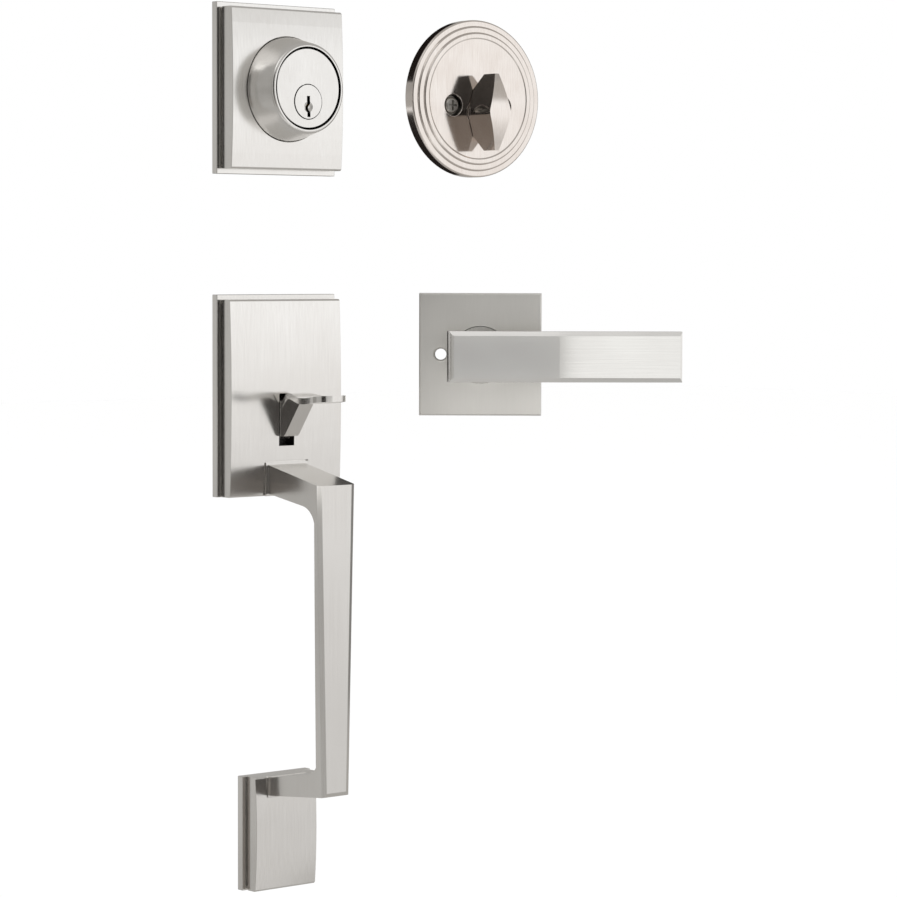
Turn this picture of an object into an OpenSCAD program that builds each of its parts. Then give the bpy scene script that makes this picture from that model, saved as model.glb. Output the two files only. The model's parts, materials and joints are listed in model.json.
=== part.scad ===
// Front door handle set in satin nickel: outside deadbolt, outside grip handle with a thumb
// latch, inside thumbturn and inside lever. Fronts face -Y and the door face is the plane Y = 0.
// The origin is on the door face at the centre of the handle's upper back plate.

/* [Plates] */
// Width of the deadbolt and handle back plates
plate_w = 75; // [70:1:90]
// Height of the deadbolt back plate
bolt_plate_h = 85; // [80:1:110]
// Height of the handle back plate
handle_plate_h = 101; // [98:1:130]
// Width of the lower back plate
lower_plate_w = 43.5; // [38:0.5:60]
// Height of the lower back plate
lower_plate_h = 58; // [50:1:80]
// Thickness of the back plates
back_t = 4; // [4:0.5:6]
// Depth of the shadow groove between a back plate and its face plate
groove_d = 1; // [0.6:0.1:2]
// How far the groove is set in under the face plate's edge
groove_inset = 1.5; // [1:0.5:2.5]
// Margin of back plate that shows beside the face plate
margin = 2.5; // [1.5:0.5:4]
// Thickness of a face plate at its top and bottom edges
face_edge_t = 6.2; // [6:0.1:8]
// Rise of the crowned face plates at mid height
crown = 1.3; // [0.6:0.1:2]
// Width of the bevel along the top and bottom of the face plates
end_bevel = 0.7; // [0.3:0.1:1.5]
// Front wall of the hollow handle face plate
face_wall = 2.5; // [2:0.1:3]

/* [Deadbolt] */
// Height of the deadbolt's centre above the handle plate's centre
bolt_z = 153; // [150:1:180]
// How much deeper the deadbolt's face plate is than the handle's
bolt_extra = 1.4; // [0.8:0.1:3]
// Radius of the guard collar where it meets the plate
collar_r = 26; // [25:0.5:28]
// Radius of the guard collar at its front
collar_tip_r = 22.6; // [22.4:0.1:24]
// How far the collar stands out of the crowned plate
collar_out = 16; // [14:0.5:20]
// Radius of the rounded lip at the collar's front
collar_lip_r = 1.6; // [1:0.1:1.8]
// Radius of the cylinder face inside the collar
cylinder_r = 19.85; // [19.5:0.05:20]
// Radius of the plug's face
plug_face_r = 8.4; // [8:0.1:9]
// Radius of the plug's body
plug_r = 6.4; // [6:0.1:7]
// How far the plug sits below the cylinder's centre
plug_drop = 6.7; // [6.5:0.1:7.5]
// Number of pin chambers
pin_count = 5; // [4:1:5]
// Distance between pin chambers
pin_pitch = 3.8; // [3.6:0.1:3.8]
// Radius of a pin
pin_r = 1.4; // [1:0.05:1.5]
// Length of the tailpiece behind the door face
tail_len = 46; // [40:1:80]

/* [Thumbturn] */
// Place of the thumbturn unit across the set
turn_x = 132; // [125:1:160]
// Angle that the thumbturn unit is turned to face the viewer
turn_yaw = -5; // [-10:1:0]
// Radius of the round rose
rose_r = 41.3; // [40:0.1:46]
// Height of the rose's outer wall below its first step
rose_wall_h = 5.7; // [5:0.1:7]
// Width of one step ring
step_w = 3.3; // [2.8:0.1:3.6]
// Rise of one step ring
step_rise = 0.9; // [0.6:0.1:1.1]
// Height of the thumb piece's fin
fin_h = 40; // [34:1:44]
// Thickness of the fin at mid height
fin_mid_w = 13.6; // [11:0.2:15]
// Thickness of the fin at its two ends
fin_end_w = 2.5; // [2:0.1:4]
// Depth of the flare behind the full height of the fin
fin_flare = 6.5; // [5:0.5:8]
// Depth of the full height of the fin
fin_body = 9.6; // [8:0.2:12]
// Rise of the fin's crowned front
fin_crown = 3.3; // [2:0.1:4]
// How far the turn's axis sits below the rose's centre
turn_drop = 7.5; // [7:0.1:8]

/* [Bolt fixings] */
// Distance of each deadbolt screw from the centre line
screw_x = 16; // [16:0.1:16.4]
// How far the deadbolt screws sit below the centre
screw_drop = 3.8; // [3:0.1:4.5]
// Length of the deadbolt screws behind the door face
screw_len = 29; // [24:1:60]
// Radius of the deadbolt screws
screw_r = 2.1; // [1.9:0.1:2.2]

/* [Grip] */
// Distance of the grip's front from the door face
grip_out = 52.4; // [48:0.2:60]
// Width of the grip at its top
grip_top_w = 23.8; // [20:0.2:26]
// Width of the grip at its bottom
grip_low_w = 17; // [15:0.2:20]
// Depth of the grip bar at its edges
grip_edge_t = 3.2; // [2.6:0.1:5]
// Rise of the rounded back of the grip bar
grip_belly = 4.5; // [3:0.1:6]
// Distance from the handle plate's centre down to the lower plate's top
grip_drop = 192.3; // [185:0.1:215]
// Slope of the upper arm's top
arm_slope = 12; // [8:0.5:15]
// Slope of the upper arm's underside
arm_under_slope = 9.6; // [6:0.2:12]
// Slope of the lower arm's top
low_arm_slope = 9; // [6:0.5:12]
// Height of the upper arm at the plate
arm_h = 14.5; // [13:0.5:15]
// Height of the lower arm at its plate
low_arm_h = 10.3; // [9.5:0.1:12]
// Radius of the inner corners of the grip
grip_fillet = 11; // [8:0.5:14]
// Width of the shallow bevel round the grip's front
grip_bevel = 2.4; // [1.5:0.1:3.5]

/* [Thumb latch] */
// Width of the thumb piece's web
web_w = 9; // [8:0.2:9.6]
// Width of the thumb piece's paddle
paddle_w = 20; // [18:0.5:24]
// How far the paddle stands out of the plate
paddle_out = 40; // [34:1:42]
// Thickness of the paddle
paddle_t = 3; // [2.4:0.1:3.5]
// Radius of the thumb piece's pivot pin
pivot_r = 1.5; // [1.2:0.1:1.6]
// Height of the latch axis above the handle plate's centre
latch_z = 18; // [18:0.5:19]
// Radius of the lift cam's hub
cam_r = 9; // [8.6:0.1:9.4]

/* [Lever] */
// Place of the lever unit across the set
lever_x = 140.5; // [134:0.5:165]
// Angle that the lever unit is turned to face the viewer
lever_yaw = -41.4; // [-45:0.2:-35]
// Side of the square lever rose
lever_rose_w = 65; // [63:0.5:70]
// Depth of the lever rose
lever_rose_d = 7; // [7:0.1:10]
// Length of the lever past its axis
lever_reach = 105; // [90:1:125]
// Length of the lever behind its axis
lever_heel = 17.2; // [16:0.2:20]
// Height of the lever bar
lever_h = 26.4; // [24:0.2:30]
// Thickness of the lever bar
lever_t = 7.6; // [6:0.2:10]
// Distance of the lever's front from the door face
lever_out = 50; // [46:0.5:60]
// Distance from the axis to the lever's gentle bend
lever_bend_x = 41; // [34:1:50]
// Angle of the lever's gentle bend
lever_bend = 4; // [2:0.5:6]
// Radius of the lever's neck
neck_r = 14.8; // [14.2:0.1:15]
// Distance of each fixing hole from the lever's axis
fix_x = 21; // [20.8:0.1:22]
// Radius of the fixing holes
fix_r = 3.05; // [2.4:0.05:3.2]
// Width across the flats of the square spindle
spindle_w = 8; // [7:0.1:8.2]
// Length of the spindle behind the door face
spindle_len = 48; // [30:1:70]

/* [Hidden] */
$fn = 96;
crown_fn = 720;
gap = 0.3;
run = 0.05;
over = 0.5;
nickel = "silver";
polished = "gainsboro";
steel = "slategray";
brass = "darkkhaki";

// Distances from the door face, all measured towards the front
seat_d = back_t + groove_d;
edge_d = seat_d + face_edge_t;
front_d = edge_d + crown;
pocket_d = edge_d - face_wall;
face_w = plate_w - 2 * margin;
lower_face_w = lower_plate_w - 2 * margin;

// Deadbolt
bolt_front_d = front_d + bolt_extra;
collar_d = bolt_front_d + collar_out;
collar_bore = cylinder_r + 0.7;
collar_wall = 2.4;
flange_t = 1.6;
flange_r = collar_r + 3.2;
face_recess = 0.5;
housing_d = collar_d - face_recess;
plug_face_t = 2.8;
barrel_r = plug_r + 3.1;
barrel_back = 6;
lug_r = screw_r + 1.2;
lug_len = 16;
clip_t = 1;
chamber_r = pin_r + 0.1;
last_pin_d = seat_d + chamber_r + gap;
keyway_half = 0.95;
keyway_line = [[0, 2.9], [0, 0.4], [0.4, -0.9], [-0.6, -2.6], [-0.6, -3.9], [0.3, -5.3], [0.3, -7.6]];
pin_top = sqrt(pow(plug_r - 0.05, 2) - pow(pin_r, 2));
key_pin_len = 6;
driver_len = 4;
chamber_len = 12.5;
tail_w = 6;
tail_t = 1.8;
plug_back = barrel_back + 2.5;

// Thumbturn
rose_skin = 1.4;
disc_r = rose_r - 3 * step_w;
disc_d = rose_wall_h + 3 * step_rise - 0.3;
rose_inside_d = disc_d - rose_skin;
hub_r = 6.8;
shaft_r = 5;
mount_t = 2;
fin_d = disc_d + 0.4;
screw_head_r = 4.25;
screw_head_t = 2.6;
screw_seat_d = disc_d - screw_head_t - 0.6;
washer_t = 0.6;

// Handle
face_top = handle_plate_h / 2 - margin;
face_low = -handle_plate_h / 2;
face_mid = (face_top + face_low) / 2;
arm_top = -34.6;
flange_w = 26.6;
flange_h = arm_top + 1 - face_low;
seat_cut_d = edge_d - 0.3;
flange_front_d = seat_cut_d + 1.7;
grip_screw_r = 2;
grip_head_r = 3.8;
grip_head_t = 2.5;
grip_screw_len = 25;
arm_under = arm_top - arm_h;
arm_mid = arm_top - arm_h / 2;
bar_back_d = grip_out - grip_edge_t;
bar_top = arm_top - (grip_out - seat_cut_d) * tan(arm_slope);
low_arm_mid = -grip_drop - low_arm_h / 2;
low_arm_under_slope = 5.5;
bar_low = -grip_drop - low_arm_h + (grip_out - seat_cut_d) * tan(low_arm_under_slope);
low_flange_w = 24;
post_r = 4.5;
post_len = 14;
low_post_len = 20;
tap_r = 2.1;
tap_wall = 2;

// Thumb latch
pivot_d = 6.2;
pivot_z = -3;
slot_w = web_w + 0.6;
slot_top = 0.8;
slot_low = -25.5;
ear_in = web_w / 2 + 3.7;
ear_t = 2.8;
window_left = 15;
window_right = ear_in + ear_t + 1;
window_top = 4;
window_low = -21.2;
cam_arm_half = 3;
cam_arm_len = 14;
cam_front_d = 4.2;
cam_boss_r = cam_r + 3;
cam_boss_back = 8.5;
cam_back = 19;
cam_socket = spindle_w + 0.2;
finger_x = -12;
finger_w = 3;
finger_front = 14;
finger_back = 18;
tail_low = -5;
tail_top = -1;
finger_top = latch_z - cam_arm_half - gap;

// Lever
lever_skin = 1.4;
lever_inside_d = lever_rose_d - lever_skin;
lever_mount_t = 2.2;
lever_mount_w = lever_rose_w - 8;
lever_shank_r = 10;
lever_shank_back = 4;
bearing_r = 12.4;
neck_back_d = lever_inside_d - 0.2;
lever_back_d = lever_out - lever_t;
lever_bevel = 2.4;
lever_bevel_d = 1.2;
heel_r = 4;
socket_depth_d = 24;
set_screw_d = 18;
set_screw_r = 1.5;

// Solid whose outline is drawn in the side view as [distance from door, height]
module from_side(w) {
    rotate([0, 0, -90]) rotate([90, 0, 0]) linear_extrude(w, center = true) children();
}

// Solid whose outline is drawn in the front view, between two distances from the door
module from_front(d0, d1) {
    rotate([90, 0, 0]) translate([0, 0, d0]) linear_extrude(d1 - d0) children();
}

// Solid whose outline is drawn from above as [across, distance from door], between two heights
module from_top(z0, z1) {
    mirror([0, 1, 0]) translate([0, 0, z0]) linear_extrude(z1 - z0) children();
}

// Turned solid with an outline of [radius, distance from door]
module turned(points) {
    rotate([90, 0, 0]) rotate_extrude() polygon(points);
}

// Round bar along the depth, between two distances from the door
module rod(r, d0, d1) {
    rotate([90, 0, 0]) translate([0, 0, d0]) cylinder(r = r, h = d1 - d0);
}

// Upright round bar centred at a distance from the door, between two heights
module rod_up(r, d, z0, z1) {
    translate([0, -d, z0]) cylinder(r = r, h = z1 - z0);
}

// Block between two corners given as [x, distance from door, z]
module block(a, b) {
    translate([a[0], -b[1], a[2]]) cube([b[0] - a[0], b[1] - a[1], b[2] - a[2]]);
}

function arc(centre, r, a0, a1, steps) =
    [for (i = [0:steps]) let (a = a0 + (a1 - a0) * i / steps) centre + r * [cos(a), sin(a)]];

// Places of the four units
module at_deadbolt() {
    translate([0, 0, bolt_z]) children();
}

module at_turn() {
    translate([turn_x, 0, bolt_z]) rotate([0, 0, turn_yaw]) children();
}

module at_lever() {
    translate([lever_x, 0, latch_z]) rotate([0, 0, lever_yaw]) children();
}

// Flat back plate with the raised land that leaves the shadow groove
module stepped_back_plate(w, z0, z1, land_w, land_z0, land_z1) {
    block([-w / 2, 0, z0], [w / 2, back_t, z1]);
    block([-land_w / 2, back_t - over, land_z0], [land_w / 2, seat_d, land_z1]);
}

// Face plate crowned from top to bottom, with bevels at the two ends of its front
module crowned_plate(w, z0, z1, extra = 0) {
    h = z1 - z0;
    crown_r = (h * h / 4 + crown * crown) / (2 * crown);
    tip = crown + 1;
    bevel_d = edge_d + extra - end_bevel;
    intersection() {
        from_side(w) polygon([[seat_d, z0], [bevel_d, z0], [bevel_d + end_bevel + tip, z0 + end_bevel + tip],
            [bevel_d + end_bevel + tip, z1 - end_bevel - tip], [bevel_d, z1], [seat_d, z1]]);
        translate([0, crown_r - front_d - extra, (z0 + z1) / 2]) rotate([0, 90, 0])
            cylinder(r = crown_r, h = w + 2, center = true, $fn = crown_fn);
    }
}

module both_screws() {
    for (side = [-1, 1]) translate([side * screw_x, 0, -screw_drop]) children();
}

module deadbolt_back_plate() {
    half = bolt_plate_h / 2;
    land_h = half - margin - groove_inset;
    color(nickel) at_deadbolt() difference() {
        stepped_back_plate(plate_w, -half, half, face_w - 2 * groove_inset, -land_h, land_h);
        translate([0, 0, -plug_drop]) rod(barrel_r + gap, -over, seat_d + over);
        both_screws() rod(lug_r + gap, -over, seat_d + over);
    }
}

module deadbolt_face_plate() {
    half = bolt_plate_h / 2 - margin;
    color(nickel) at_deadbolt() difference() {
        crowned_plate(face_w, -half, half, bolt_extra);
        rod(collar_r + gap, seat_d - over, bolt_front_d + over);
        rod(flange_r + gap, seat_d - over, seat_d + flange_t + 2 * gap);
    }
}

// Free-spinning guard ring: flange behind the plate, tapered wall and rounded lip
module guard_collar() {
    flange_d = seat_d + gap;
    wall_d = flange_d + flange_t;
    bore_d = collar_d - 5;
    color(nickel) at_deadbolt() turned(concat(
        [[collar_r - collar_wall, flange_d], [flange_r, flange_d], [flange_r, wall_d],
            [collar_r, wall_d], [collar_r, bolt_front_d]],
        arc([collar_tip_r - collar_lip_r, collar_d - collar_lip_r], collar_lip_r, 10, 90, 8),
        [[collar_bore + 0.1, collar_d], [collar_bore, collar_d - 0.1], [collar_bore, bore_d],
            [collar_r - collar_wall, bore_d - 4]]));
}

function chamber_d(i) = last_pin_d + (pin_count - 1 - i) * pin_pitch;

module in_chambers() {
    for (i = [0:pin_count - 1]) translate([0, -chamber_d(i), -plug_drop]) children();
}

module cylinder_housing() {
    color(polished) at_deadbolt() difference() {
        union() {
            turned([[0, seat_d], [cylinder_r, seat_d], [cylinder_r, housing_d - 0.4],
                [cylinder_r - 0.4, housing_d], [0, housing_d]]);
            translate([0, 0, -plug_drop]) rod(barrel_r, -barrel_back, seat_d + over);
            both_screws() rod(lug_r, -lug_len, seat_d + over);
        }
        translate([0, 0, -plug_drop]) {
            rod(plug_r + run, -barrel_back - over, housing_d);
            rod(plug_face_r + 0.5, housing_d - plug_face_t, housing_d + over);
        }
        both_screws() rod(screw_r, -lug_len - over, seat_d + 4);
        in_chambers() cylinder(r = chamber_r, h = plug_r + chamber_len);
    }
}

// Keyway outline: one centre line given its width on both sides
module keyway_outline() {
    n = len(keyway_line) - 1;
    polygon(concat([for (i = [0:n]) keyway_line[i] + [keyway_half, 0]],
        [for (i = [n:-1:0]) keyway_line[i] - [keyway_half, 0]]));
}

module cylinder_plug() {
    dish_r = 5;
    dish_depth = 0.8;
    color(polished) at_deadbolt() difference() {
        translate([0, 0, -plug_drop]) {
            rod(plug_face_r, housing_d - plug_face_t + 0.1, housing_d + 0.3);
            rod(plug_r, -plug_back, housing_d - plug_face_t + 1);
        }
        translate([0, 0, -plug_drop]) {
            from_front(0, housing_d + 1) keyway_outline();
            translate([0, -(housing_d + 0.3 + dish_r - dish_depth), -2.6]) sphere(r = dish_r);
            difference() {
                rod(plug_r + 1, -barrel_back - gap - clip_t - run, -barrel_back - gap + run);
                rod(plug_r - 1.2, -plug_back - 1, 0);
            }
            block([-tail_t / 2 - run, -plug_back - over, -tail_w / 2 - run],
                [tail_t / 2 + run, -barrel_back + over, tail_w / 2 + run]);
        }
        in_chambers() translate([0, 0, pin_top - key_pin_len - 1.6])
            cylinder(r = chamber_r, h = key_pin_len + 3);
    }
}

// Key pins with pointed tips, held at the shear line as if the key were in
module key_pins() {
    color(brass) at_deadbolt() in_chambers() translate([0, 0, pin_top - key_pin_len]) {
        translate([0, 0, pin_r]) cylinder(r = pin_r, h = key_pin_len - pin_r, $fn = 32);
        cylinder(r1 = pin_r * 0.3, r2 = pin_r, h = pin_r, $fn = 32);
    }
}

module driver_pins() {
    color(steel) at_deadbolt() in_chambers() translate([0, 0, plug_r + 0.15])
        cylinder(r = pin_r, h = driver_len, $fn = 32);
}

// Coil spring along Z as one swept tube
module coil(mean_r, wire_r, length, turns, per_turn, sides) {
    n = turns * per_turn;
    ring = [for (i = [0:n]) let (a = 360 * i / per_turn, z = wire_r + (length - 2 * wire_r) * i / n)
        for (j = [0:sides - 1]) let (b = 360 * j / sides, q = mean_r + wire_r * cos(b))
            [q * cos(a), q * sin(a), z + wire_r * sin(b)]];
    walls = [for (i = [0:n - 1], j = [0:sides - 1]) let (k = (j + 1) % sides)
        [i * sides + j, i * sides + k, (i + 1) * sides + k, (i + 1) * sides + j]];
    caps = [[for (j = [sides - 1:-1:0]) j], [for (j = [0:sides - 1]) n * sides + j]];
    polyhedron(points = ring, faces = concat(walls, caps));
}

module pin_springs() {
    base = plug_r + 0.15 + driver_len + 0.05;
    color(steel) at_deadbolt() in_chambers() translate([0, 0, base])
        coil(pin_r - 0.35, 0.3, plug_r + chamber_len - base - 0.1, 5, 8, 4);
}

// Split ring with a square gap for fitting it into its groove
module split_ring(inner_r, outer_r, d0, d1, gap_w) {
    difference() {
        rod(outer_r, d0, d1);
        rod(inner_r, d0 - over, d1 + over);
        block([-gap_w / 2, d0 - over, -outer_r - over], [gap_w / 2, d1 + over, 0]);
    }
}

module plug_retainer() {
    color(steel) at_deadbolt() translate([0, 0, -plug_drop])
        split_ring(plug_r - 1.15, plug_r + 2, -barrel_back - gap - clip_t, -barrel_back - gap, 4);
}

module tailpiece() {
    color(steel) at_deadbolt() translate([0, 0, -plug_drop])
        block([-tail_t / 2, -tail_len, -tail_w / 2], [tail_t / 2, -barrel_back + 0.4, tail_w / 2]);
}

// Hollow rose: outer wall, three rounded step rings and a flat disc
module turn_rose() {
    rings = [for (i = [0:2]) each arc([rose_r - i * step_w - step_rise, rose_wall_h + i * step_rise],
        step_rise, 0, 90, 5)];
    color(polished) at_turn() difference() {
        turned(concat([[rose_r - rose_skin, 0], [rose_r, 0]], rings,
            [[disc_r + 0.5, rose_wall_h + 3 * step_rise], [disc_r, disc_d], [0, disc_d],
                [0, rose_inside_d], [disc_r, rose_inside_d], [rose_r - rose_skin, rose_wall_h - 1]]));
        translate([0, 0, -turn_drop]) rod(hub_r + gap, 0, disc_d + over);
        both_screws() rod(screw_head_r + 1.5, 0, disc_d + over);
    }
}

module turn_mount_plate() {
    color(steel) at_turn() difference() {
        union() {
            rod(rose_r - rose_skin - gap, 0, mount_t);
            translate([0, 0, -turn_drop]) rod(shaft_r + 3, 0, rose_inside_d - 0.9);
            both_screws() rod(screw_head_r + 1, 0, screw_seat_d);
        }
        translate([0, 0, -turn_drop]) rod(shaft_r + run, -over, disc_d);
        both_screws() rod(screw_r + gap, -over, disc_d);
    }
}

// Thumb piece: diamond fin with flared sides and a crowned front, hub and slotted shaft
module thumb_turn() {
    half = fin_h / 2;
    root_half = half - 7.5;
    body_d = fin_d + fin_flare + fin_body;
    crown_r = (half * half + fin_crown * fin_crown) / (2 * fin_crown);
    crown_a = asin(half / crown_r);
    mid = fin_mid_w / 2;
    end = fin_end_w / 2;
    color(polished) at_turn() translate([0, 0, -turn_drop]) difference() {
        union() {
            intersection() {
                from_side(fin_mid_w + 2) polygon(concat(
                    [[fin_d, root_half], [fin_d, -root_half], [fin_d + fin_flare, -half]],
                    arc([body_d + fin_crown - crown_r, 0], crown_r, -crown_a, crown_a, 16),
                    [[fin_d + fin_flare, half]]));
                from_front(fin_d, body_d + fin_crown + 1) polygon([[end, half], [mid - 0.25, 1.6],
                    [mid, 0], [mid - 0.25, -1.6], [end, -half], [-end, -half], [-mid + 0.25, -1.6],
                    [-mid, 0], [-mid + 0.25, 1.6], [-end, half]]);
            }
            rod(hub_r, rose_inside_d - 0.6, fin_d + 1.5);
            rod(shaft_r, -9, rose_inside_d);
        }
        block([-tail_t / 2 - 0.25, -9 - over, -tail_w / 2 - 0.25],
            [tail_t / 2 + 0.25, 4, tail_w / 2 + 0.25]);
        difference() {
            rod(shaft_r + 1, -washer_t - 0.1 - clip_t - run, -washer_t - 0.1 + run);
            rod(shaft_r - 0.8, -9, 0);
        }
    }
}

module turn_washer() {
    color(steel) at_turn() translate([0, 0, -turn_drop]) difference() {
        rod(shaft_r + 3.4, -washer_t, 0);
        rod(shaft_r + 0.15, -washer_t - over, over);
    }
}

module turn_clip() {
    back = -washer_t - 0.1;
    color(steel) at_turn() translate([0, 0, -turn_drop])
        split_ring(shaft_r - 0.75, shaft_r + 2.2, back - clip_t, back, 5);
}

// Two long machine screws with cross-recessed heads
module turn_screws() {
    head_d = screw_seat_d + screw_head_t;
    recess = 1;
    shank_r = screw_r + 0.15;
    color(steel) at_turn() both_screws() difference() {
        turned([[0, -screw_len], [screw_r - 0.4, -screw_len], [screw_r, -screw_len + 0.6],
            [screw_r, -1], [shank_r, -1], [shank_r, screw_seat_d], [screw_head_r, screw_seat_d],
            [screw_head_r, head_d - 0.9], [screw_head_r - 0.9, head_d], [0, head_d]]);
        block([-recess / 2, head_d - 1.6, -2.6], [recess / 2, head_d + over, 2.6]);
        block([-2.6, head_d - 1.6, -recess / 2], [2.6, head_d + over, recess / 2]);
    }
}

module handle_back_plate() {
    half = handle_plate_h / 2;
    color(nickel) difference() {
        union() {
            stepped_back_plate(plate_w, -half, half, face_w - 2 * groove_inset,
                face_low + groove_inset, face_top - groove_inset);
            translate([0, 0, latch_z]) rod(cam_boss_r, -cam_boss_back, over);
        }
        block([-window_left, -over, window_low], [window_right, seat_d + over, window_top]);
        translate([0, 0, latch_z]) {
            rod(cam_r + run, -cam_boss_back - over, seat_d + over);
            rod(cam_r + 3, 2.4, seat_d + over);
        }
        translate([0, 0, arm_mid]) {
            rod(grip_screw_r + gap, -over, seat_d + over);
            rod(grip_head_r + gap, -over, grip_head_t + 0.1);
        }
    }
}

// Hollow face plate with the latch slot, two pivot ears and a seat for the grip
module handle_face_plate() {
    inset = 3;
    ear_low_d = pivot_d - pivot_r - 1.2;
    color(nickel) difference() {
        union() {
            difference() {
                crowned_plate(face_w, face_low, face_top);
                block([-face_w / 2 + inset, seat_d - over, window_low - 1],
                    [face_w / 2 - inset, pocket_d, face_top - inset]);
            }
            for (side = [-1, 1]) translate([side * (ear_in + ear_t / 2), 0, 0])
                block([-ear_t / 2, ear_low_d, pivot_z - 4], [ear_t / 2, pocket_d + over, pivot_z + 4]);
        }
        block([-slot_w / 2, seat_d - over, slot_low], [slot_w / 2, front_d + over, slot_top]);
        translate([0, -pivot_d, pivot_z]) rotate([0, 90, 0])
            cylinder(r = pivot_r + 0.02, h = 2 * (ear_in + ear_t) + 1, center = true);
        block([-flange_w / 2 - 2 * gap, seat_cut_d, face_low - over],
            [flange_w / 2 + 2 * gap, front_d + over, face_low + flange_h + 2 * gap]);
        translate([0, 0, arm_mid]) rod(grip_screw_r + gap, seat_d - over, front_d);
    }
}

// Top line of the paddle: smooth waves between a few heights, as [distance from plate, height]
paddle_keys = [[-2, -6], [7, 1.4], [24, -0.6], [paddle_out, 0.9]];
function wave(a, b, t) = a + (b - a) * (1 - cos(180 * t)) / 2;
function paddle_line(steps) = [for (k = [0:len(paddle_keys) - 2], i = [0:steps - 1])
    let (a = paddle_keys[k], b = paddle_keys[k + 1])
        [front_d + a[0] + (b[0] - a[0]) * i / steps, wave(a[1], b[1], i / steps)]];

module thumb_piece() {
    top_line = concat(paddle_line(7), [[front_d + paddle_out, paddle_keys[3][1]]]);
    n = len(top_line) - 1;
    half = paddle_w / 2;
    tip_r = half - 1.5;
    tip_d = front_d + paddle_out;
    flare = [for (i = [0:8]) [wave(web_w / 2, half, i / 8), front_d + 1 + paddle_out * 0.65 * i / 8]];
    color(nickel) difference() {
        union() {
            intersection() {
                from_side(paddle_w + 2) polygon(concat(top_line,
                    [for (i = [n:-1:0]) top_line[i] - [0, paddle_t]]));
                from_top(-paddle_w, paddle_w) polygon(concat([[-web_w / 2, front_d - 2],
                    [web_w / 2, front_d - 2]], flare, arc([half - tip_r, tip_d - tip_r], tip_r, 0, 90, 8),
                    arc([-half + tip_r, tip_d - tip_r], tip_r, 90, 180, 8),
                    [for (i = [8:-1:0]) [-flare[i][0], flare[i][1]]]));
            }
            from_side(web_w) polygon([[front_d + 17.5, -1.6], [front_d + 4.4, -19.4],
                [front_d + 3, -20.6], [pivot_d + 1.8, -20.6], [2.4, -12], [2.4, 0.6], [7.9, 0.6],
                [front_d + 1.5, -3.8], [front_d + 7, 0.2]]);
            block([-web_w / 2, -5, tail_low], [web_w / 2, 4, tail_top]);
            block([finger_x - finger_w / 2, -5, tail_low], [web_w / 2, -1, tail_top]);
            block([finger_x - finger_w / 2, -finger_back, tail_low],
                [finger_x + finger_w / 2, -1, tail_top]);
            block([finger_x - finger_w / 2, -finger_back, tail_low],
                [finger_x + finger_w / 2, -finger_front, finger_top]);
        }
        translate([0, -pivot_d, pivot_z]) rotate([0, 90, 0])
            cylinder(r = pivot_r + 0.06, h = web_w + 2, center = true);
    }
}

module thumb_pivot_pin() {
    color(steel) translate([0, -pivot_d, pivot_z]) rotate([0, 90, 0])
        cylinder(r = pivot_r, h = 2 * (ear_in + ear_t), center = true);
}

// Return spring wound round the pivot pin beside the web
module thumb_spring() {
    wire = 0.3;
    color(steel) translate([web_w / 2 + 0.2, -pivot_d, pivot_z]) rotate([0, 90, 0])
        coil(pivot_r + 0.5, wire, ear_in - web_w / 2 - 0.4, 4, 12, 6);
}

// Lift cam: hub with a square socket, and an arm that the thumb piece's finger raises
module lift_cam() {
    color(steel) translate([0, 0, latch_z]) difference() {
        union() {
            rod(cam_r, -cam_back, cam_front_d);
            block([-cam_arm_len, -cam_back, -cam_arm_half], [0, -cam_boss_back - gap, cam_arm_half]);
        }
        block([-cam_socket / 2, -cam_back - over, -cam_socket / 2],
            [cam_socket / 2, cam_front_d + over, cam_socket / 2]);
        difference() {
            rod(cam_r + 1, 2.7 - run, 3.7 + run);
            rod(cam_r - 1.4, 0, 5);
        }
    }
}

module cam_retainer() {
    color(steel) translate([0, 0, latch_z]) split_ring(cam_r - 1.35, cam_r + 2.4, 2.7, 3.7, 6);
}

// Threaded posts that take the inside unit's screws
module tapped_post(length) {
    difference() {
        rod(post_r, -length, 0);
        rod(tap_r, -length - over, -tap_wall);
    }
}

module handle_posts() {
    color(steel) for (side = [-1, 1]) translate([side * fix_x, 0, latch_z]) tapped_post(post_len);
}

// Side view of the grip: upper arm, bar and lower arm with rounded inner corners
function grip_side() =
    let (d0 = seat_cut_d + 0.5, c = bar_back_d - grip_fillet, low_top = -grip_drop - 0.5,
        up_z = arm_under - (c - d0) * tan(arm_under_slope) - grip_fillet / cos(arm_under_slope),
        low_z = low_top + (c - d0) * tan(low_arm_slope) + grip_fillet / cos(low_arm_slope))
    concat([[d0, arm_under], [d0, arm_top], [grip_out, bar_top], [grip_out, bar_low],
        [d0, -grip_drop - low_arm_h + 0.5], [d0, low_top]],
        arc([c, low_z], grip_fillet, low_arm_slope - 90, 0, 10),
        arc([c, up_z], grip_fillet, 0, 90 - arm_under_slope, 10));

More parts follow.
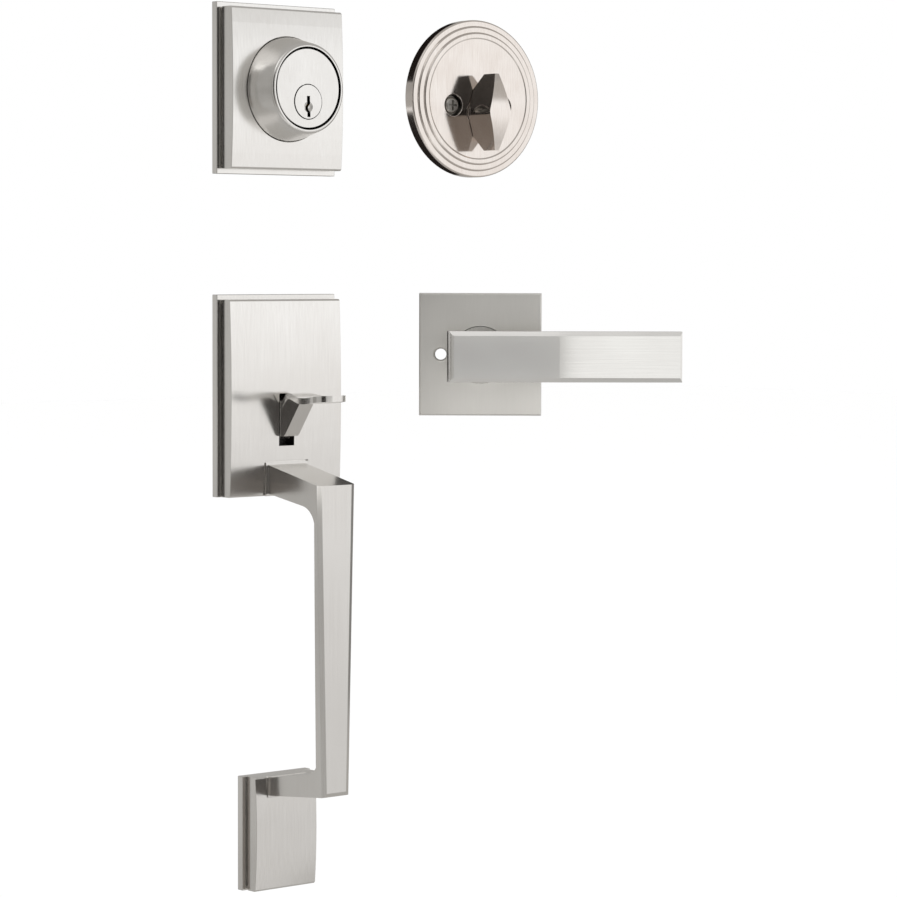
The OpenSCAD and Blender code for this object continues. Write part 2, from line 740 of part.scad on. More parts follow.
// One casting: base flange, upper arm, tapered bar with a rounded back, lower arm and flange
module grip() {
    top_half = grip_top_w / 2;
    low_half = grip_low_w / 2;
    root_half = low_flange_w / 2 - 0.6;
    taper = atan((top_half - low_half) / (bar_top - bar_low));
    belly_r = (top_half * top_half + grip_belly * grip_belly) / (2 * grip_belly);
    belly_d = bar_back_d - grip_belly;
    slope = 0.45;
    end_bevel_h = grip_bevel * 0.8;
    color(nickel) difference() {
        union() {
            intersection() {
                union() {
                    from_side(grip_top_w + 4) polygon(grip_side());
                    intersection() {
                        block([-top_half, belly_d - 1, bar_low + 5],
                            [top_half, bar_back_d + 1, bar_top - 5]);
                        rod_up(belly_r, belly_d + belly_r, bar_low, bar_top);
                    }
                }
                union() {
                    from_front(0, grip_out + 2) polygon([[-top_half, arm_top + 2],
                        [top_half, arm_top + 2], [top_half, bar_top], [low_half, bar_low],
                        [low_half, bar_low - 9], [-low_half, bar_low - 9], [-low_half, bar_low],
                        [-top_half, bar_top]]);
                    from_top(-grip_drop - 14, -grip_drop + grip_fillet - 2) polygon([
                        [-root_half, seat_cut_d - 1], [root_half, seat_cut_d - 1],
                        [low_half - 0.4, grip_out + 2], [-low_half + 0.4, grip_out + 2]]);
                }
            }
            block([-flange_w / 2, seat_cut_d, face_low], [flange_w / 2, flange_front_d, face_low + flange_h]);
            block([-low_flange_w / 2, seat_cut_d, -grip_drop - low_arm_h],
                [low_flange_w / 2, flange_front_d, -grip_drop]);
        }
        for (side = [0, 1]) mirror([side, 0, 0]) translate([top_half, 0, bar_top])
            rotate([0, taper, 0]) from_top(bar_low - bar_top - grip_fillet, grip_fillet) polygon([
                [-grip_bevel - 1 / slope, grip_out + 1], [1, grip_out - (grip_bevel + 1) * slope],
                [1, grip_out + 1]]);
        from_side(grip_top_w + 4) polygon([[grip_out + 1, bar_low + end_bevel_h + 1 / slope],
            [grip_out - (end_bevel_h + 2) * slope, bar_low - 2], [grip_out + 1, bar_low - 2]]);
        translate([0, 0, arm_mid]) rod(grip_screw_r + run, seat_cut_d - over, grip_screw_len + 1);
        translate([0, 0, low_arm_mid]) rod(grip_screw_r + run, seat_cut_d - over, grip_screw_len + 1);
    }
}

module grip_screws() {
    color(steel) for (z = [arm_mid, low_arm_mid]) translate([0, 0, z]) difference() {
        union() {
            rod(grip_head_r, 0.1, grip_head_t + 0.1);
            rod(grip_screw_r, grip_head_t, grip_screw_len);
        }
        block([-0.5, 0, -3], [0.5, 1.3, 3]);
        block([-3, 0, -0.5], [3, 1.3, 0.5]);
    }
}

module lower_back_plate() {
    low = -grip_drop - lower_plate_h;
    color(nickel) difference() {
        stepped_back_plate(lower_plate_w, low, -grip_drop, lower_face_w - 2 * groove_inset,
            low + groove_inset, -grip_drop);
        translate([0, 0, low_arm_mid]) {
            rod(grip_screw_r + gap, -over, seat_d + over);
            rod(grip_head_r + gap, -over, grip_head_t + 0.1);
        }
    }
}

module lower_face_plate() {
    color(nickel) difference() {
        crowned_plate(lower_face_w, -grip_drop - lower_plate_h, -grip_drop);
        block([-low_flange_w / 2 - gap, seat_cut_d, -grip_drop - low_arm_h - gap],
            [low_flange_w / 2 + gap, front_d + over, -grip_drop + over]);
        translate([0, 0, low_arm_mid]) rod(grip_screw_r + gap, seat_d - over, front_d);
    }
}

module lower_post() {
    color(steel) translate([0, 0, -grip_drop - lower_plate_h * 0.62])
        tapped_post(low_post_len);
}

module both_fixings() {
    for (side = [-1, 1]) translate([side * fix_x, 0, 0]) children();
}

// Hollow square rose with the neck hole and two countersunk fixing holes
module lever_rose() {
    half = lever_rose_w / 2;
    inner = half - lever_skin;
    sink = 1;
    edge = 0.5;
    color(nickel) at_lever() difference() {
        intersection() {
            from_top(-half, half) polygon([[-half, 0], [half, 0], [half, lever_rose_d - edge],
                [half - edge, lever_rose_d], [-half + edge, lever_rose_d], [-half, lever_rose_d - edge]]);
            from_side(lever_rose_w + 2) polygon([[0, -half], [lever_rose_d - edge, -half],
                [lever_rose_d, -half + edge], [lever_rose_d, half - edge], [lever_rose_d - edge, half],
                [0, half]]);
        }
        block([-inner, -over, -inner], [inner, lever_inside_d, inner]);
        rod(neck_r + gap, 0, lever_rose_d + over);
        both_fixings() {
            rod(fix_r, 0, lever_rose_d + over);
            turned([[0, lever_rose_d - sink], [fix_r, lever_rose_d - sink],
                [fix_r + sink, lever_rose_d], [fix_r + sink, lever_rose_d + over], [0, lever_rose_d + over]]);
        }
    }
}

module lever_mount_plate() {
    half = lever_mount_w / 2;
    color(steel) at_lever() difference() {
        union() {
            block([-half, 0, -half], [half, lever_mount_t, half]);
            rod(bearing_r, 0, lever_inside_d - 0.8);
            both_fixings() rod(fix_r + 1.5, 0, lever_inside_d);
        }
        rod(lever_shank_r + run, -over, lever_inside_d + over);
        both_fixings() rod(fix_r, -over, lever_inside_d + over);
    }
}

// Outline of the lever bar from above, with its rounded heel and gentle bend
function lever_plan() =
    let (drop = (lever_reach - lever_bend_x) * tan(lever_bend), turn = lever_t * tan(lever_bend) / 2)
    concat([[-lever_heel, lever_back_d]],
        arc([-lever_heel + heel_r, lever_out - heel_r], heel_r, 180, 90, 6),
        [[lever_bend_x + turn, lever_out], [lever_reach - 1, lever_out - drop],
            [lever_reach, lever_out - drop - 1], [lever_reach, lever_back_d - drop + 1],
            [lever_reach - 1, lever_back_d - drop], [lever_bend_x - turn, lever_back_d]]);

module lever_handle() {
    half = lever_h / 2;
    color(nickel) at_lever() difference() {
        union() {
            from_top(-half, half) polygon(lever_plan());
            turned([[0, neck_back_d], [neck_r, neck_back_d], [neck_r, lever_back_d - 12],
                [half - 0.6, lever_back_d], [half - 0.6, lever_back_d + 1], [0, lever_back_d + 1]]);
            rod(lever_shank_r, -lever_shank_back, neck_back_d + 1);
        }
        for (side = [0, 1]) mirror([0, 0, side]) {
            lever_edge_bevel(-lever_heel - 1, lever_bend_x + 0.05, 0);
            lever_edge_bevel(0, lever_reach, lever_bend);
        }
        block([-spindle_w / 2 - 0.1, -lever_shank_back - over, -spindle_w / 2 - 0.1],
            [spindle_w / 2 + 0.1, socket_depth_d, spindle_w / 2 + 0.1]);
        translate([0, -set_screw_d, -neck_r - 1])
            cylinder(r = set_screw_r + run, h = neck_r - spindle_w / 2 + 1.5);
        difference() {
            rod(lever_shank_r + 1, -2.2 - run, -1 + run);
            rod(lever_shank_r - 1.4, -4, 0);
        }
    }
}

// Bevel along the top edge of the lever's front, on one straight stretch
module lever_edge_bevel(x0, x1, angle) {
    half = lever_h / 2;
    start = angle == 0 ? 0 : lever_bend_x;
    translate([start, -lever_out, 0]) rotate([0, 0, angle]) translate([-start, lever_out, 0])
        translate([(angle == 0 ? x0 + x1 : 2 * start + x1) / 2, 0, 0])
            from_side(angle == 0 ? x1 - x0 : x1) polygon([[lever_out, half - lever_bevel],
                [lever_out - lever_bevel_d * 1.2, half + lever_bevel * 0.2], [lever_out + 2, half + 1],
                [lever_out + 2, half - lever_bevel]]);
}

module lever_spindle() {
    half = spindle_w / 2;
    color(steel) at_lever() block([-half, -spindle_len, -half], [half, socket_depth_d - 0.5, half]);
}

module lever_spring() {
    wire = 0.45;
    color(steel) at_lever() translate([0, -lever_mount_t - 0.1, 0]) rotate([90, 0, 0])
        coil(bearing_r + 0.3 + wire, wire, lever_inside_d - lever_mount_t - 0.6, 2, 24, 6);
}

module lever_clip() {
    color(steel) at_lever() split_ring(lever_shank_r - 1.35, lever_shank_r + 2.5, -2.2, -1, 7);
}

module lever_set_screw() {
    color(steel) at_lever() translate([0, -set_screw_d, -neck_r + 1]) difference() {
        cylinder(r = set_screw_r, h = neck_r - 1.05 - spindle_w / 2);
        translate([0, 0, -over]) cylinder(r = 0.9, h = 2, $fn = 6);
    }
}

deadbolt_back_plate();
deadbolt_face_plate();
guard_collar();
cylinder_housing();
cylinder_plug();
key_pins();
driver_pins();
pin_springs();
plug_retainer();
tailpiece();
turn_rose();
turn_mount_plate();
thumb_turn();
turn_washer();
turn_clip();
turn_screws();
handle_back_plate();
handle_face_plate();
thumb_piece();
thumb_pivot_pin();
thumb_spring();
lift_cam();
cam_retainer();
handle_posts();
grip();
grip_screws();
lower_back_plate();
lower_face_plate();
lower_post();
lever_rose();
lever_mount_plate();
lever_handle();
lever_spindle();
lever_spring();
lever_clip();
lever_set_screw();
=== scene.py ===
import json
import math

import bpy
from mathutils import Matrix, Vector

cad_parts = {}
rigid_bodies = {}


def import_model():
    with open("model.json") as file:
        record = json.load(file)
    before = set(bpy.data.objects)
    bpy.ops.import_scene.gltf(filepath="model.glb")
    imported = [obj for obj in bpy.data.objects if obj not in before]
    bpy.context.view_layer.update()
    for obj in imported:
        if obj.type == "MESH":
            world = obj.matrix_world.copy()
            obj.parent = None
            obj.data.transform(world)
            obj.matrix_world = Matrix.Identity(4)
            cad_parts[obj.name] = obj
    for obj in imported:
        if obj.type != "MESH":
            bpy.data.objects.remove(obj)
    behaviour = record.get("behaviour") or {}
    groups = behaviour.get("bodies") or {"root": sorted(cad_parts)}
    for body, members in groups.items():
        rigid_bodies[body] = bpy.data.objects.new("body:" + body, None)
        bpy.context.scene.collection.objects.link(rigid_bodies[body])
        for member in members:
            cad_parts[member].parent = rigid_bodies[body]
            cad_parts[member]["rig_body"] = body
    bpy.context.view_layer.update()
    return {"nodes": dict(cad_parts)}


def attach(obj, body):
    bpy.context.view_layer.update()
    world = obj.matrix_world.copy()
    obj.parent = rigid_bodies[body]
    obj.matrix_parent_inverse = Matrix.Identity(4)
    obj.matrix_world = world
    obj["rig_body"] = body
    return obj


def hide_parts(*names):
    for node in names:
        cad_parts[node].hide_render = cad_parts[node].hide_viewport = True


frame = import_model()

# Door handle set in satin nickel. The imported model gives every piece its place; this script
# rounds the edges, gives the finishes and lights the set on a white sweep.

nodes = frame["nodes"]
mm = 0.001
print("frame loaded with", len(nodes), "nodes")


def linearColour(hexText):
    channels = [int(hexText[i:i + 2], 16) / 255 for i in (1, 3, 5)]
    return [c / 12.92 if c <= 0.04045 else ((c + 0.055) / 1.055) ** 2.4 for c in channels] + [1]


def addNode(tree, kind, inputs=None, **settings):
    node = tree.nodes.new(kind)
    for name, value in settings.items():
        setattr(node, name, value)
    for socket, value in (inputs or {}).items():
        if isinstance(value, bpy.types.NodeSocket):
            tree.links.new(value, node.inputs[socket])
        else:
            node.inputs[socket].default_value = value
    return node


def startMaterial(name):
    material = bpy.data.materials.new(name)
    material.use_nodes = True
    material.node_tree.nodes.clear()
    return material, material.node_tree


def selectOnly(obj):
    bpy.ops.object.select_all(action="DESELECT")
    obj.select_set(True)
    bpy.context.view_layer.objects.active = obj


# Camera at the photograph's place
cameraPlace = {
    "location": (-1.029465, -1.326844, 0.067961),
    "yaw": 40.862,       # degrees from +Y towards +X
    "pitch": 3.25,       # degrees below the horizon
    "roll": 0.176,
    "lens": 133.12,
}


def addCamera(place):
    yaw, pitch, roll = (math.radians(place[k]) for k in ("yaw", "pitch", "roll"))
    forward = Vector((math.sin(yaw) * math.cos(pitch), math.cos(yaw) * math.cos(pitch), -math.sin(pitch)))
    right = Vector((math.cos(yaw), -math.sin(yaw), 0))
    up = right.cross(forward)
    turnedRight = right * math.cos(roll) + up * math.sin(roll)
    turnedUp = up * math.cos(roll) - right * math.sin(roll)
    data = bpy.data.cameras.new("photoCamera")
    data.lens = place["lens"]
    data.clip_start, data.clip_end = 0.05, 50
    camera = bpy.data.objects.new("photoCamera", data)
    bpy.context.scene.collection.objects.link(camera)
    matrix = Matrix((turnedRight, turnedUp, -forward)).transposed().to_4x4()
    matrix.translation = Vector(place["location"])
    camera.matrix_world = matrix
    bpy.context.scene.camera = camera


addCamera(cameraPlace)
print("camera placed")

# White sweep and soft light
studio = {
    "floorZ": -0.62,
    "floorSize": 24,
    "floorColour": "#FDFDFD",
    "worldColour": "#FFFFFF",
    "mirroredColour": "#A9A7A4",    # what mirror rays meet where no card stands
    "worldStrength": 1.0,
    "keyStrength": 0.3,
    "keyAngle": 35,                 # degrees across, so that its shadows stay soft
    "keyTurn": (38, 8, -62),
}

# Cards that the metal mirrors, seen by mirror rays alone. A card has one colour, or stops that run
# across it (X) or up it (Y). Its rim, a share of its half width, fades into the mirrored colour.
# It looks level at the set, unless it says where it faces.
cards = {
    "darkCameraSide": {"centre": (-1.41, -1.94, 0.1), "size": (1.7, 2.6), "axis": "Y",
                       "stops": [(0, "#4A4541"), (0.15, "#5A544F"), (0.24, "#8A837D"), (0.31, "#1C1917"),
                                 (1, "#0B0908")], "rim": 0.2},
    "behindAbove": {"centre": (-0.1, 0.75, 0.68), "size": (2.2, 0.95), "colour": "#9E9C99", "rim": 0.2},
    "behindBelow": {"centre": (-0.1, 0.75, -0.52), "size": (2.2, 0.9), "colour": "#A8A6A3", "rim": 0.2},
    "leftGrey": {"centre": (-1.36, 0.5, 0.05), "size": (1.3, 2.2), "axis": "Y",
                 "stops": [(0, "#7E7C78"), (1, "#9A9894")], "rim": 0.3},
    "behindPlates": {"centre": (-0.24, 0.21, 0.075), "size": (0.22, 0.3), "colour": "#B2B0AD", "rim": 0.12},
    "behindLowPlate": {"centre": (-0.24, 0.21, -0.245), "size": (0.22, 0.09), "colour": "#B2B0AD",
                       "rim": 0.2},
    "barLeft": {"centre": (-1.0, 1.15, -0.31), "size": (0.9, 0.6), "colour": "#FFFFFF", "rim": 0.2},
    "behindRight": {"centre": (0.56, 0.62, 0.1), "size": (0.8, 0.7), "axis": "Y",
                    "stops": [(0, "#A5A3A0"), (1, "#B5B3B0")], "rim": 0.3},
    "frontRight": {"centre": (1.05, -1.21, 0.0), "size": (1.8, 2.0), "axis": "Y",
                   "stops": [(0.2, "#D2D0CE"), (0.28, "#CAC8C6"), (0.4, "#DCDAD8"), (0.5, "#EEECEA"),
                             (0.575, "#FBFAF9"), (0.7, "#FFFFFF"), (0.76, "#BAB7B3"), (0.88, "#B5B2AE")],
                   "rim": 0.15},
    "belowRight": {"centre": (0.27, -0.1, -0.31), "size": (0.3, 0.3),
                   "faces": (-0.656, 0.185, 0.733), "colour": "#A8A5A1", "rim": 0.2},
    "rightGrey": {"centre": (1.35, 0.25, 0.0), "size": (1.1, 1.6), "axis": "Y",
                  "stops": [(0, "#62605E"), (1, "#706E6B")], "rim": 0.35},
    "leverFront": {"centre": (0.0446, -0.195, -0.002), "size": (0.22, 0.116), "axis": "X",
                   "faces": (0.669, 0.743, 0), "stops": [(0.42, "#F7F6F4"), (0.5, "#F4F2EF")], "rim": 0.1},
    "leverMiddle": {"centre": (0.0112, -0.1516, 0.013), "size": (0.115, 0.042),
                    "faces": (0.669, 0.743, 0), "colour": "#ACABAA", "rim": 0.35},
    "leverAbove": {"centre": (-0.25, -0.5, 0.8), "size": (0.6, 0.5),
                   "faces": (0.4, 0.43, -0.81), "colour": "#D2D0CE", "rim": 0.2},
    "leverBelow": {"centre": (-0.25, -0.5, -0.58), "size": (0.6, 0.3),
                   "faces": (0.4, 0.43, 0.81), "colour": "#D2D0CE", "rim": 0.2},
    "turnAbove": {"centre": (0.115, 0.13, 0.262), "size": (0.24, 0.13),
                  "faces": (0, -1, -0.4), "colour": "#171311", "rim": 0.15},
    "turnBelow": {"centre": (0.115, 0.13, 0.055), "size": (0.24, 0.13),
                  "faces": (0, -1, 0.4), "colour": "#1F1B19", "rim": 0.15},
}


def addCard(name, look):
    centre = Vector(look["centre"])
    towardsSet = Vector((0.05, 0, centre.z)) - centre
    facing = Vector(look.get("faces", towardsSet)).normalized()
    bpy.ops.object.select_all(action="DESELECT")
    bpy.ops.mesh.primitive_plane_add(size=2, location=centre)    # its own coordinates run from -1 to 1
    card = bpy.context.object
    card.name = name
    card.rotation_euler = facing.to_track_quat("Z", "Y").to_euler()
    card.scale = (look["size"][0] / 2, look["size"][1] / 2, 1)
    material, tree = startMaterial(name + "Card")
    place = addNode(tree, "ShaderNodeTexCoord").outputs["Object"]
    split = addNode(tree, "ShaderNodeSeparateXYZ", {0: place})
    along = addNode(tree, "ShaderNodeMapRange", {"Value": split.outputs[look.get("axis", "Y")],
                                                 "From Min": -1, "From Max": 1})
    ramp = addNode(tree, "ShaderNodeValToRGB", {"Fac": along.outputs[0]})
    wanted = look.get("stops") or [(0, look["colour"]), (1, look["colour"])]
    stops = ramp.color_ramp.elements
    while len(stops) < len(wanted):
        stops.new(0.5)
    for stop, (position, colour) in zip(stops, wanted):
        stop.position, stop.color = position, linearColour(colour)
    sideways = addNode(tree, "ShaderNodeMath", {0: split.outputs["X"]}, operation="ABSOLUTE")
    upward = addNode(tree, "ShaderNodeMath", {0: split.outputs["Y"]}, operation="ABSOLUTE")
    edge = addNode(tree, "ShaderNodeMath", {0: sideways.outputs[0], 1: upward.outputs[0]},
                   operation="MAXIMUM")
    rim = addNode(tree, "ShaderNodeMapRange", {"Value": edge.outputs[0], "From Min": 1 - look["rim"],
                                               "From Max": 1}, interpolation_type="SMOOTHSTEP")
    mixed = addNode(tree, "ShaderNodeMix", {"Factor": rim.outputs[0], "A": ramp.outputs[0],
                                            "B": linearColour(studio["mirroredColour"])}, data_type="RGBA")
    glow = addNode(tree, "ShaderNodeEmission", {"Color": mixed.outputs["Result"], "Strength": 1})
    addNode(tree, "ShaderNodeOutputMaterial", {"Surface": glow.outputs[0]})
    card.data.materials.append(material)
    card.visible_camera = False
    card.visible_diffuse = False
    card.visible_shadow = False
    card.visible_transmission = False


def addStudio(look):
    world = bpy.data.worlds.new("whiteSweep")
    bpy.context.scene.world = world
    world.use_nodes = True
    tree = world.node_tree
    tree.nodes.clear()
    ray = addNode(tree, "ShaderNodeLightPath")
    openSky = addNode(tree, "ShaderNodeBackground", {"Color": linearColour(look["worldColour"]),
                                                   "Strength": look["worldStrength"]})
    mirrored = addNode(tree, "ShaderNodeBackground", {"Color": linearColour(look["mirroredColour"]),
                                                      "Strength": look["worldStrength"]})
    chosen = addNode(tree, "ShaderNodeMixShader", {0: ray.outputs["Is Glossy Ray"], 1: openSky.outputs[0],
                                                   2: mirrored.outputs[0]})
    addNode(tree, "ShaderNodeOutputWorld", {"Surface": chosen.outputs[0]})

    bpy.ops.object.select_all(action="DESELECT")
    bpy.ops.mesh.primitive_plane_add(size=look["floorSize"], location=(0, 0, look["floorZ"]))
    floor = bpy.context.object
    floor.name = "paleFloor"
    material, tree = startMaterial("paleFloorPaint")
    paint = addNode(tree, "ShaderNodeBsdfPrincipled", {"Base Color": linearColour(look["floorColour"]),
                                                       "Roughness": 0.9})
    addNode(tree, "ShaderNodeOutputMaterial", {"Surface": paint.outputs[0]})
    floor.data.materials.append(material)
    floor.visible_glossy = False

    lamp = bpy.data.lights.new("softKey", "SUN")
    lamp.energy = look["keyStrength"]
    lamp.angle = math.radians(look["keyAngle"])
    key = bpy.data.objects.new("softKey", lamp)
    key.rotation_euler = [math.radians(a) for a in look["keyTurn"]]
    bpy.context.scene.collection.objects.link(key)
    for name in cards:
        addCard(name, cards[name])


addStudio(studio)
bpy.context.scene.view_settings.view_transform = "Standard"
print("studio ready")

# Finishes: hexes of the bright and deep tone, line spacing and cloud size in millimetres.
# Hairlines on satin nickel are about 0.1 mm apart; they are drawn 0.3 to 0.5 mm apart so that they show.
finishes = {
    # satin nickel plates, brushed upright: pale, with soft upright streaks in the mirrored light
    "satinNickelPlate": {"colour": "#FCFBF9", "deep": "#F3F1EE", "roughness": 0.2, "spread": 0.04,
                         "lines": (0.4, 0.4, 60), "depth": 0.0007, "cloud": 28},
    # satin nickel grip, brushed along its length: the same metal with a slightly wider sheen
    "satinNickelGrip": {"colour": "#FBFAF8", "deep": "#F2F0ED", "roughness": 0.22, "spread": 0.04,
                        "lines": (0.4, 0.4, 80), "depth": 0.0007, "cloud": 34},
    # satin nickel lever, brushed level: cool grey with fine level lines
    "satinNickelLever": {"colour": "#FBFBF9", "deep": "#F1F0EE", "roughness": 0.2, "spread": 0.04,
                         "lines": (50, 50, 0.35), "depth": 0.0008, "cloud": 26},
    # fine satin nickel on the lever's rose: an even pale tone with almost no reflections
    "satinNickelRose": {"colour": "#FAF9F5", "deep": "#F5F4F0", "roughness": 0.32, "spread": 0.03,
                        "lines": (0.35, 0.35, 14), "depth": 0.0005, "cloud": 22},
    # polished nickel on the thumbturn: crisp reflections with a warm tint
    "polishedNickel": {"colour": "#F6F0EB", "deep": "#E9E0D9", "roughness": 0.12, "spread": 0.03,
                       "lines": (0.5, 0.5, 9), "depth": 0.0005, "cloud": 12},
    # lathe-finished nickel of the cylinder and plug: bright and slightly soft
    "cylinderNickel": {"colour": "#FAF9F7", "deep": "#EFEDEA", "roughness": 0.22, "spread": 0.04,
                       "lines": (0.3, 0.3, 8), "depth": 0.0006, "cloud": 12},
    # painted shade: walls deep in the gaps are given this near-black colour so that they read as the dark
    # rings and shadow lines that shade makes there
    "paintedGapShade": {"colour": "#242322", "deep": "#151414", "roughness": 0.55, "spread": 0.1,
                       "lines": (1, 1, 1), "depth": 0.001, "cloud": 5},
    # zinc plated steel of the hidden fixings: duller grey with a faint mottle
    "zincPlatedSteel": {"colour": "#C9C8C4", "deep": "#A3A19C", "roughness": 0.34, "spread": 0.1,
                        "lines": (1.2, 1.2, 1.2), "depth": 0.003, "cloud": 6},
    # drawn spring steel: darker grey wire with a tight highlight
    "springSteel": {"colour": "#9FA1A2", "deep": "#7C7D7E", "roughness": 0.26, "spread": 0.08,
                    "lines": (0.6, 0.6, 0.6), "depth": 0.001, "cloud": 4},
    # turned brass of the key pins: yellow with fine turning rings
    "turnedBrass": {"colour": "#D8B36A", "deep": "#B48E48", "roughness": 0.25, "spread": 0.08,
                    "lines": (3, 3, 0.25), "depth": 0.002, "cloud": 5},
}


def makeFinish(name, look):
    material, tree = startMaterial(name)
    place = addNode(tree, "ShaderNodeTexCoord").outputs["Object"]
    stretched = addNode(tree, "ShaderNodeMapping", {"Vector": place,
                                                    "Scale": [1 / (size * mm) for size in look["lines"]]})
    lines = addNode(tree, "ShaderNodeTexNoise", {"Vector": stretched.outputs[0], "Scale": 1, "Detail": 2,
                                                 "Roughness": 0.6})
    clouds = addNode(tree, "ShaderNodeTexNoise", {"Vector": place, "Scale": 1 / (look["cloud"] * mm),
                                                  "Detail": 2})
    mixedTone = addNode(tree, "ShaderNodeMix", {"Factor": 0.45, "A": lines.outputs[0],
                                                "B": clouds.outputs[0]})
    # a noise keeps mostly between these values, so they are stretched over the whole tone
    tone = addNode(tree, "ShaderNodeMapRange", {"Value": mixedTone.outputs["Result"],
                                                "From Min": 0.3, "From Max": 0.7})
    colour = addNode(tree, "ShaderNodeMix", {"Factor": tone.outputs[0], "A": linearColour(look["colour"]),
                                             "B": linearColour(look["deep"])}, data_type="RGBA")
    halfSpread = look["spread"] / 2
    rough = addNode(tree, "ShaderNodeMapRange", {"Value": lines.outputs[0],
                                                 "From Min": 0.25, "From Max": 0.75,
                                                 "To Min": look["roughness"] - halfSpread,
                                                 "To Max": look["roughness"] + halfSpread})
    bump = addNode(tree, "ShaderNodeBump", {"Height": lines.outputs[0], "Distance": look["depth"] * mm,
                                            "Strength": 1})
    metal = addNode(tree, "ShaderNodeBsdfPrincipled", {"Base Color": colour.outputs["Result"],
                                                       "Metallic": 1, "Roughness": rough.outputs[0],
                                                       "Normal": bump.outputs[0]})
    addNode(tree, "ShaderNodeOutputMaterial", {"Surface": metal.outputs[0]})
    return material


metals = {name: makeFinish(name, look) for name, look in finishes.items()}
print("finishes made:", len(metals))

# Pieces: finish, record slot and edge rounding in millimetres
dressing = {
    "deadbolt_back_plate": ("satinNickelPlate", "nickel_plate", 0.3),
    "deadbolt_face_plate": ("satinNickelPlate", "nickel_plate", 0.35),
    "guard_collar": ("satinNickelPlate", "nickel_plate", 0.2),
    "cylinder_housing": ("cylinderNickel", "nickel_cylinder", 0.2),
    "cylinder_plug": ("cylinderNickel", "nickel_cylinder", 0.12),
    "key_pins": ("turnedBrass", "pin_brass", 0.08),
    "driver_pins": ("zincPlatedSteel", "zinc_steel", 0.08),
    "pin_springs": ("springSteel", "spring_steel", 0),
    "plug_retainer": ("springSteel", "spring_steel", 0.08),
    "tailpiece": ("zincPlatedSteel", "zinc_steel", 0.2),
    "turn_rose": ("polishedNickel", "nickel_bright", 0.2),
    "turn_mount_plate": ("zincPlatedSteel", "zinc_steel", 0.2),
    "thumb_turn": ("polishedNickel", "nickel_bright", 0.45),
    "turn_washer": ("zincPlatedSteel", "zinc_steel", 0.08),
    "turn_clip": ("springSteel", "spring_steel", 0.08),
    "turn_screws": ("zincPlatedSteel", "zinc_steel", 0.15),
    "handle_back_plate": ("satinNickelPlate", "nickel_plate", 0.3),
    "handle_face_plate": ("satinNickelPlate", "nickel_plate", 0.35),
    "thumb_piece": ("satinNickelPlate", "nickel_plate", 0.4),
    "thumb_pivot_pin": ("zincPlatedSteel", "zinc_steel", 0.15),
    "thumb_spring": ("springSteel", "spring_steel", 0),
    "lift_cam": ("zincPlatedSteel", "zinc_steel", 0.2),
    "cam_retainer": ("springSteel", "spring_steel", 0.08),
    "handle_posts": ("zincPlatedSteel", "zinc_steel", 0.25),
    "grip": ("satinNickelGrip", "nickel_grip", 0.45),
    "grip_screws": ("zincPlatedSteel", "zinc_steel", 0.15),
    "lower_back_plate": ("satinNickelPlate", "nickel_plate", 0.3),
    "lower_face_plate": ("satinNickelPlate", "nickel_plate", 0.35),
    "lower_post": ("zincPlatedSteel", "zinc_steel", 0.25),
    "lever_rose": ("satinNickelRose", "nickel_lever", 0.3),
    "lever_mount_plate": ("zincPlatedSteel", "zinc_steel", 0.2),
    "lever_handle": ("satinNickelLever", "nickel_lever", 0.35),
    "lever_spindle": ("zincPlatedSteel", "zinc_steel", 0.3),
    "lever_spring": ("springSteel", "spring_steel", 0),
    "lever_clip": ("springSteel", "spring_steel", 0.1),
    "lever_set_screw": ("zincPlatedSteel", "zinc_steel", 0.08),
}


# Walls of narrow gaps that get the near-black painted shade, standing in for the shade deep in the gaps:
# box corners in millimetres. boreOnly leaves the outside as it is.
gapWalls = {
    "guard_collar": {"low": (-21.5, -40, 131), "high": (21.5, -6, 175), "boreOnly": True},
    "cylinder_housing": {"low": (-21, -40, 132), "high": (21, -5.5, 174)},
    "cylinder_plug": {"low": (-9, -29, 137), "high": (9, -20, 155)},
    "deadbolt_back_plate": {"low": (-34.5, -5.2, 112), "high": (34.5, -3.9, 194)},
    "handle_back_plate": {"low": (-34.5, -5.2, -50.6), "high": (34.5, -1, 47.5)},
    "handle_face_plate": {"low": (-6, -13, -26), "high": (6, -4, 2)},
    "lower_back_plate": {"low": (-18, -5.2, -250), "high": (18, -3.9, -193)},
}


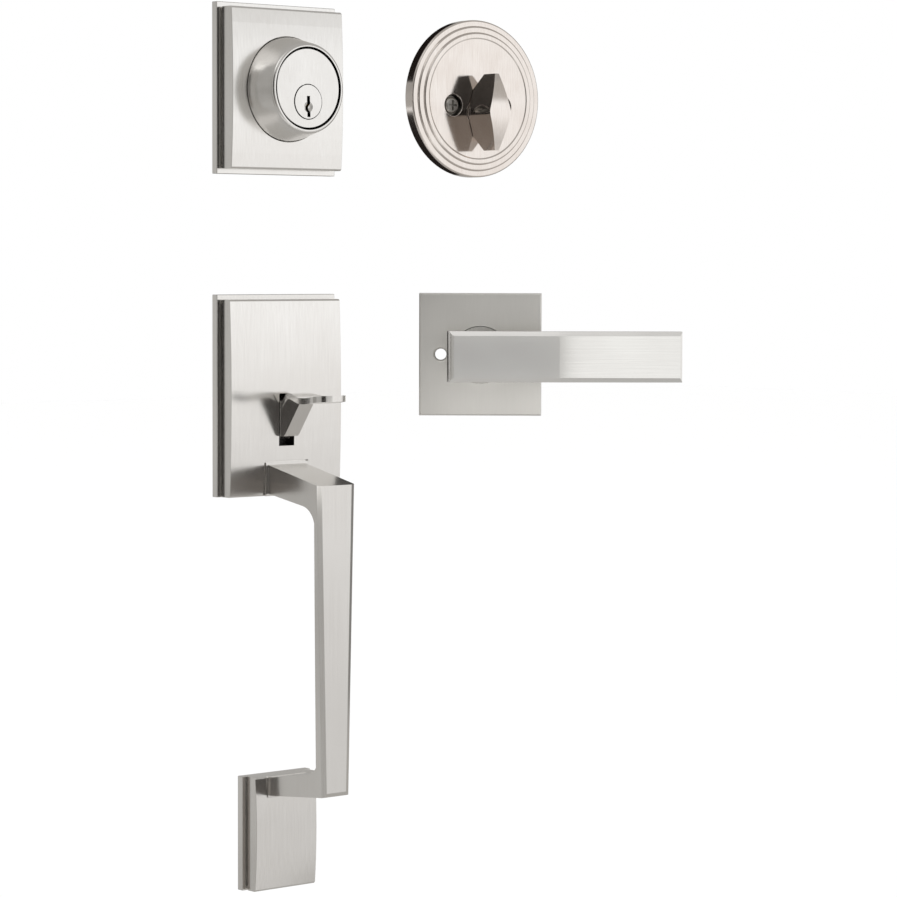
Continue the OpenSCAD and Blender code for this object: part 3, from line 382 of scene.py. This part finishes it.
def paintGapShade(piece, gap):
    low, high = Vector(gap["low"]) * mm, Vector(gap["high"]) * mm
    middle = (low + high) / 2
    # painted shade: the gap walls get a near-black second material that stands in for the shade deep in the
    # gaps
    piece.data.materials.append(metals["paintedGapShade"])
    for face in piece.data.polygons:
        inBox = all(low[i] < face.center[i] < high[i] for i in range(3))
        isWall = abs(face.normal.y) < 0.5          # it runs from front to back
        facesOut = (face.center - middle).dot(face.normal) > 0
        if inBox and isWall and not (facesOut and gap.get("boreOnly")):
            face.material_index = 1


# How a copy is cleaned and rounded: angles in degrees
edges = {
    "mergeWithin": 1e-6,      # metres
    "flatWithin": 0.1,
    "smoothBelow": 24,
    "roundAbove": 20,
    "segments": 4,
    # these keep their triangles, because merging them closes the holes in their faces
    "keepTriangles": ("lever_mount_plate", "lever_rose", "deadbolt_back_plate"),
}


def dressNode(nodeName, finish, slotName, rounding):
    source = nodes[nodeName]
    words = nodeName.split("_")
    pieceName = words[0] + "".join(word.capitalize() for word in words[1:])
    piece = bpy.data.objects.new(pieceName, source.data.copy())
    bpy.context.scene.collection.objects.link(piece)
    selectOnly(piece)
    smoothBelow = math.radians(edges["smoothBelow"])

    bpy.ops.object.mode_set(mode="EDIT")
    bpy.ops.mesh.select_all(action="SELECT")
    bpy.ops.mesh.remove_doubles(threshold=edges["mergeWithin"])
    if nodeName not in edges["keepTriangles"]:
        bpy.ops.mesh.dissolve_limited(angle_limit=math.radians(edges["flatWithin"]))
    bpy.ops.object.mode_set(mode="OBJECT")
    bpy.ops.object.shade_smooth_by_angle(angle=smoothBelow)

    if rounding:
        bevel = piece.modifiers.new("edgeRounding", "BEVEL")
        bevel.width = rounding * mm
        bevel.segments = edges["segments"]
        bevel.limit_method = "ANGLE"
        bevel.angle_limit = math.radians(edges["roundAbove"])
        bevel.miter_outer = "MITER_ARC"
        bpy.ops.object.modifier_apply(modifier=bevel.name)
        bpy.ops.object.shade_smooth_by_angle(angle=smoothBelow)
    weighting = piece.modifiers.new("faceWeighting", "WEIGHTED_NORMAL")
    weighting.keep_sharp = True
    bpy.ops.object.modifier_apply(modifier=weighting.name)

    piece.data.materials.clear()
    piece.data.materials.append(metals[finish])
    # painted shade: walls inside the listed gap boxes are coloured near black
    if nodeName in gapWalls:
        paintGapShade(piece, gapWalls[nodeName])
    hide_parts(nodeName)
    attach(piece, source["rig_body"])
    return piece


pieces = {name: dressNode(name, *look) for name, look in dressing.items()}
print("pieces dressed:", len(pieces))
